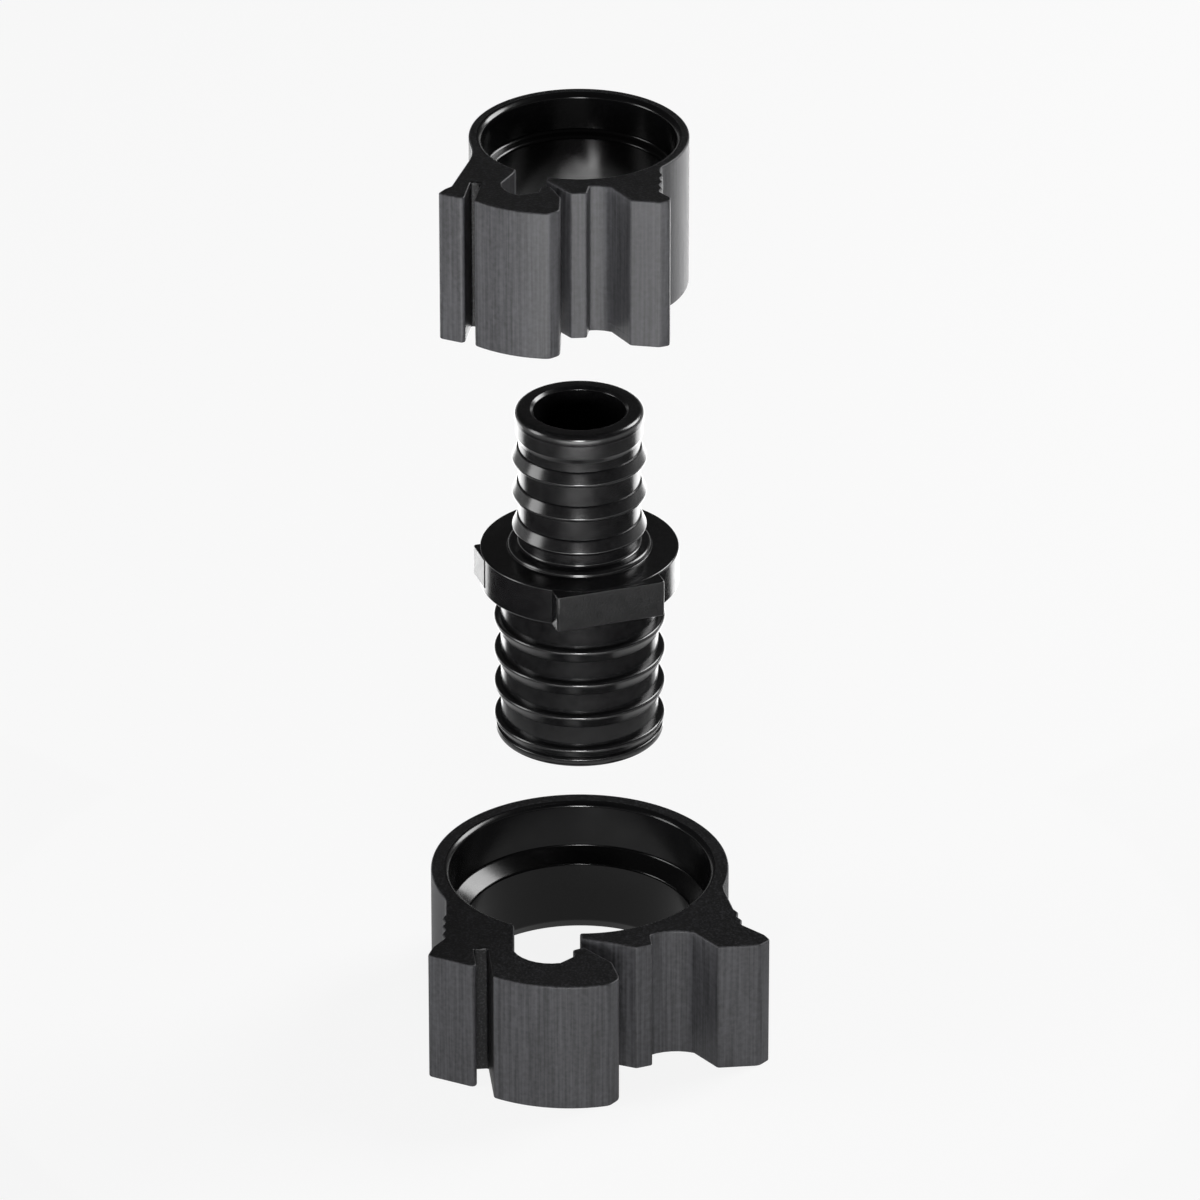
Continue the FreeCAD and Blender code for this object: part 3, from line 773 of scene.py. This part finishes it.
def block_object(name, plan, low, high):
    """A block from one height to another, marked as grained."""
    total = high - low
    block = new_object(name, *stack([
        (low + h, inset(rounded(plan), edge_inset(h, total))) for h in sorted(edge_levels(total))]))
    layer = block.data.attributes.new("grain", "FLOAT", "POINT")
    layer.data.foreach_set("value", [1.0] * len(block.data.vertices))
    return block


lug = block_object("lug", LUG_PLAN, 0, BLOCK_TOP)
key = block_object("key", KEY_PLAN, KEY_FOOT, BLOCK_TOP)
print("lug faces:", len(lug.data.polygons), "key faces:", len(key.data.polygons))

# %% [markdown]
# The whole coupling is one tree. The ribs of the wide end are the same row turned over. Ribs,
# lug and key are realised and united with the wall, so the coupling is one closed skin, as one
# moulding is. Materials go on last, by the grain mark that the profile and the blocks carry.

# %% The coupling's tree
GRAINED_OVER = 0.6    # the union blends the mark across an edge, and a weak one doesn't count

body, given = new_tree("ribbed_coupling", [
    ("Profile", "NodeSocketGeometry", None), ("Around", COUNT, 128),
    ("Small Start", FLOAT, 7.9 * MM), ("Small Pitch", FLOAT, 5.0 * MM),
    ("Small Root", FLOAT, NARROW_ROOT * MM), ("Small Crest", FLOAT, NARROW_CREST * MM),
    ("Small Ribs", COUNT, 3),
    ("Large Start", FLOAT, 4.8 * MM), ("Large Pitch", FLOAT, 4.85 * MM),
    ("Large Root", FLOAT, WIDE_ROOT * MM), ("Large Crest", FLOAT, WIDE_CREST * MM),
    ("Large Ribs", COUNT, 4), ("Block Turn", FLOAT, math.radians(18.5)),
    ("Lug", "NodeSocketObject", None), ("Key", "NodeSocketObject", None),
    ("Polished Finish", "NodeSocketMaterial", None),
    ("Grained Finish", "NodeSocketMaterial", None)])

loop = add(body, "GeometryNodeMeshToCurve", Mesh=given["Profile"])
eased = add(body, "GeometryNodeFilletCurve", {"mode": "POLY"}, Curve=loop,
            Count=ROUNDING_POINTS, Limit_Radius=True,
            Radius=add(body, "GeometryNodeInputNamedAttribute", Name="rounding"))
wall = swept_round(body, eased, given["Around"])

small_row, large_row = (
    add(body, "GeometryNodeGroup", {"node_tree": ribs}, Around=given["Around"],
        Root_Radius=given[f"{end} Root"], Crest_Radius=given[f"{end} Crest"],
        Start=given[f"{end} Start"], Pitch=given[f"{end} Pitch"], Count=given[f"{end} Ribs"])
    for end in ("Small", "Large"))
turned_over = add(body, "GeometryNodeTransform", Geometry=large_row, Rotation=(math.pi, 0, 0))
lug_shape = add(body, "GeometryNodeObjectInfo", Object=given["Lug"]).outputs["Geometry"]
key_shape = add(body, "GeometryNodeObjectInfo", Object=given["Key"]).outputs["Geometry"]
blocks = add(body, "GeometryNodeJoinGeometry", Geometry=lug_shape)
body.links.new(key_shape, blocks.inputs["Geometry"])
blocks = add(body, "GeometryNodeTransform", Geometry=blocks,
             Rotation=add(body, "ShaderNodeCombineXYZ", Z=given["Block Turn"]))

standing = add(body, "GeometryNodeJoinGeometry", Geometry=small_row)
for part in (turned_over, blocks):
    body.links.new(part.outputs[0], standing.inputs["Geometry"])
realised = add(body, "GeometryNodeRealizeInstances", Geometry=standing)
united = add(body, "GeometryNodeMeshBoolean", {"operation": "UNION", "solver": "EXACT"}, in_1=wall)
body.links.new(realised.outputs[0], united.inputs[1])
polished = add(body, "GeometryNodeSetMaterial", Geometry=united, Material=given["Polished Finish"])
is_grained = add(body, "ShaderNodeMath", {"operation": "GREATER_THAN"}, in_1=GRAINED_OVER,
                 in_0=add(body, "GeometryNodeInputNamedAttribute", Name="grain"))
finished = add(body, "GeometryNodeSetMaterial", Geometry=polished, Selection=is_grained,
               Material=given["Grained Finish"])
add(body, "NodeGroupOutput", Geometry=finished)
print(body.name, "has", len(body.nodes), "nodes")

# %% [markdown]
# A modifier's inputs are set by each socket's identifier before anything is evaluated. The
# result is baked to a plain mesh. Its printed volume shows at once whether the union worked
# and the faces look outwards.

# %% Bake the coupling
def set_inputs(modifier, values):
    """Sets a modifier's inputs by the names that its tree gives them."""
    for item in modifier.node_group.interface.items_tree:
        if item.item_type == "SOCKET" and item.in_out == "INPUT" and item.name in values:
            modifier[item.identifier] = values[item.name]


rule = coupling.modifiers.new("ribbed_coupling", "NODES")
rule.node_group = body
set_inputs(rule, {"Lug": lug, "Key": key, "Polished Finish": polished_polysulfone,
                  "Grained Finish": grained_polysulfone})
baked(coupling)
for block in (lug, key):
    bpy.data.objects.remove(block)
shade_by_area(coupling, COUPLING_SHARP)
print("coupling:", len(coupling.data.polygons), "faces,", volume_of(coupling), "cubic mm,",
      [m.name if m else None for m in coupling.data.materials])

# %% [markdown]
# ## Riding on the engineered model
#
# Each dressed piece stands for one engineered node and moves with its body: the clamps slide
# along the axis, and the coupling stays.

# %% Pieces to bodies
for piece, node, moves_with, slot in (
        (coupling, "coupling_body", "coupling", "coupling_plastic"),
        (small_clamp, "small_clamp", "small_clamp", "clamp_plastic"),
        (large_clamp, "large_clamp", "large_clamp", "clamp_plastic")):
    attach(piece, moves_with)
    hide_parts(node)
    print(piece.name, "rides on", moves_with)

# %% [markdown]
# ## Floor and world
#
# The object stands over a plain white floor. A white floor lit like the object would render
# grey, so the camera sees it mostly glowing, and whatever mirrors it sees a fainter glow, as
# when the paper is small. The rest of it stays an ordinary white surface, which takes the
# object's shadow.
#
# The world is a dim studio: pale at the horizon and dark from 9 degrees up. Black plastic shows
# its surroundings more than its own colour, so the dark ceiling keeps the end faces black.

# %% Floor and world
SEEN_GLOW, MIRRORED_GLOW = 0.88, 0.35
DARK_FROM = 0.16    # the sine of 9 degrees above the horizon


def floor_material():
    """White paper that glows for the camera, and faintly for whatever mirrors it."""
    material, tree = start_material("white_paper_sweep")
    ray = add(tree, "ShaderNodeLightPath").outputs
    mirrored = add(tree, "ShaderNodeMath", {"operation": "MAXIMUM"},
                   in_0=ray["Is Glossy Ray"], in_1=ray["Is Transmission Ray"])
    faintly = add(tree, "ShaderNodeMath", {"operation": "MULTIPLY"},
                  in_0=mirrored, in_1=MIRRORED_GLOW)
    share = add(tree, "ShaderNodeMath", {"operation": "MULTIPLY_ADD"},
                in_0=ray["Is Camera Ray"], in_1=SEEN_GLOW, in_2=faintly)
    paper = add(tree, "ShaderNodeBsdfDiffuse", Color=linear("#f2f2f2"))
    glow = add(tree, "ShaderNodeEmission", Color=linear("#ffffff"), Strength=1.0)
    mixed = add(tree, "ShaderNodeMixShader", in_0=share, in_1=paper, in_2=glow)
    add(tree, "ShaderNodeOutputMaterial", Surface=mixed)
    return material


half, level = 4000, cad_box[0].z / MM
floor = new_object("floor", [(-half, -half, level), (half, -half, level), (half, half, level),
                             (-half, half, level)], [(0, 1, 2, 3)])
floor.data.materials.append(floor_material())

world = bpy.data.worlds.new("studio")
bpy.context.scene.world = world
world.use_nodes = True
room = world.node_tree
room.nodes.clear()
up = add(room, "ShaderNodeSeparateXYZ",
         Vector=add(room, "ShaderNodeTexCoord").outputs["Generated"]).outputs["Z"]
height = add(room, "ShaderNodeMapRange", Value=up, in_1=0.0, in_2=DARK_FROM)
sky = add(room, "ShaderNodeMix", {"data_type": "RGBA"}, in_0=height,
          in_6=linear("#ffffff"), in_7=linear("#3c3c3c"))
backdrop = add(room, "ShaderNodeBackground", Color=sky.outputs[2], Strength=1.0)
add(room, "ShaderNodeOutputWorld", Surface=backdrop)
print("floor at", round(level, 1), "mm")

# %% [markdown]
# Black plastic over a white floor looks grey, because its upright walls mirror the floor. Product
# photographers lay black card where the mirrored part lies. The camera looks down at 28 degrees,
# so a wall that stands h above the floor mirrors the ring of floor h / tan 28 away. For the
# coupling that is a ring from 85 to 190 mm. The card leaves the back open, so the round walls
# keep their pale edges. It is hidden from the camera and casts no shadow.

# %% Black card round the object
CARD_NEAR, CARD_FAR, CARD_LIFT = 85, 190, 0.5
CARD_REACH, CARD_STEP = 130, 10    # degrees to each side of the front

card_angles = [math.radians(a - 90) for a in range(-CARD_REACH, CARD_REACH + 1, CARD_STEP)]
count = len(card_angles)
card = new_object("black_card", [(r * math.cos(a), r * math.sin(a), level + CARD_LIFT)
                                 for r in (CARD_NEAR, CARD_FAR) for a in card_angles],
                  [(i, count + i, count + i + 1, i + 1) for i in range(count - 1)])
material, tree = start_material("black_card")
add(tree, "ShaderNodeOutputMaterial",
    Surface=add(tree, "ShaderNodeBsdfDiffuse", Color=linear("#101010")))
card.data.materials.append(material)
card.visible_camera = card.visible_shadow = False
print("card from", CARD_NEAR, "to", CARD_FAR, "mm")

# %% [markdown]
# ## Lamps
#
# Two soft boxes stand at the sides. The right one is behind the object, so the sloping ledge in
# the large clamp mirrors it. A low one stands straight in front and makes the glint at the
# middle of every rounded rim.
#
# An upright wall mirrors the floor. So one lit panel lies on the floor in front, outside the
# picture, and greys the latches, and one lies behind and draws the pale edges of all round
# walls. Neither is seen by the camera.
#
# A lamp is set by its brightness, where 1 is a white card in full light.

# %% Soft boxes and floor panels
def soft_box(name, azimuth, elevation, distance, width, height, brightness):
    """An area lamp aimed at the object, azimuth 0 being the camera's side."""
    lamp = bpy.data.lights.new(name, "AREA")
    lamp.shape = "ELLIPSE"
    lamp.size, lamp.size_y = width, height
    area = math.pi / 4 * width * height
    lamp.energy = brightness * math.pi * area
    obj = bpy.data.objects.new(name, lamp)
    bpy.context.scene.collection.objects.link(obj)
    a, e = math.radians(azimuth), math.radians(elevation)
    way = Vector((math.sin(a) * math.cos(e), -math.cos(a) * math.cos(e), math.sin(e)))
    obj.location = way * distance
    obj.rotation_euler = way.to_track_quat("Z", "Y").to_euler()
    obj.visible_camera = False
    return obj


# Name, azimuth and elevation in degrees, then distance, width and height in metres, brightness.
lamps = [
    soft_box("left_soft_box", -80, 12, 0.7, 0.3, 0.5, 5.0),
    soft_box("right_soft_box", 122, 33, 0.7, 0.36, 0.36, 10.0),
    soft_box("low_front_box", 0, 6, 0.8, 0.22, 0.22, 31.0),
    soft_box("front_floor_panel", 0, 0, 0.27, 0.4, 0.13, 7.0),
    soft_box("back_floor_panel", 180, 0, 0.2, 0.6, 0.26, 3.0),
]
for panel in lamps[-2:]:
    panel.location.z = cad_box[0].z + 1 * MM
    panel.rotation_euler = (math.pi, 0, 0)
for lamp in lamps:
    print(lamp.name, [round(c, 2) for c in lamp.location], round(lamp.data.energy, 2), "W")

# %% [markdown]
# ## Camera
#
# The photograph is taken from 28 degrees above, straight at the latches, with a long lens: the
# ring ellipses of all three pieces are nearly alike and upright edges stay upright.

# %% Camera
ELEVATION, LENS, SENSOR = 28.0, 300.0, 36.0
FRAME_PIXELS, PIXELS_PER_MM = 1200, 7.59
AIM = Vector((2.7, 0, -3.1)) * MM

camera_data = bpy.data.cameras.new("camera")
camera_data.lens, camera_data.sensor_width = LENS, SENSOR
camera = bpy.data.objects.new("camera", camera_data)
bpy.context.scene.collection.objects.link(camera)
tilt = math.radians(ELEVATION)
back = Vector((0, -math.cos(tilt), math.sin(tilt)))
camera.location = AIM + back * (LENS / SENSOR * FRAME_PIXELS / PIXELS_PER_MM * MM)
camera.rotation_euler = (math.pi / 2 - tilt, 0, 0)
camera_data.clip_start, camera_data.clip_end = 0.05, 50
bpy.context.scene.camera = camera
bpy.context.scene.view_settings.view_transform = "Standard"
print("camera stands", round((camera.location - AIM).length, 2), "m away")

# %% [markdown] The dressed object is meant to stay inside the engineered box.
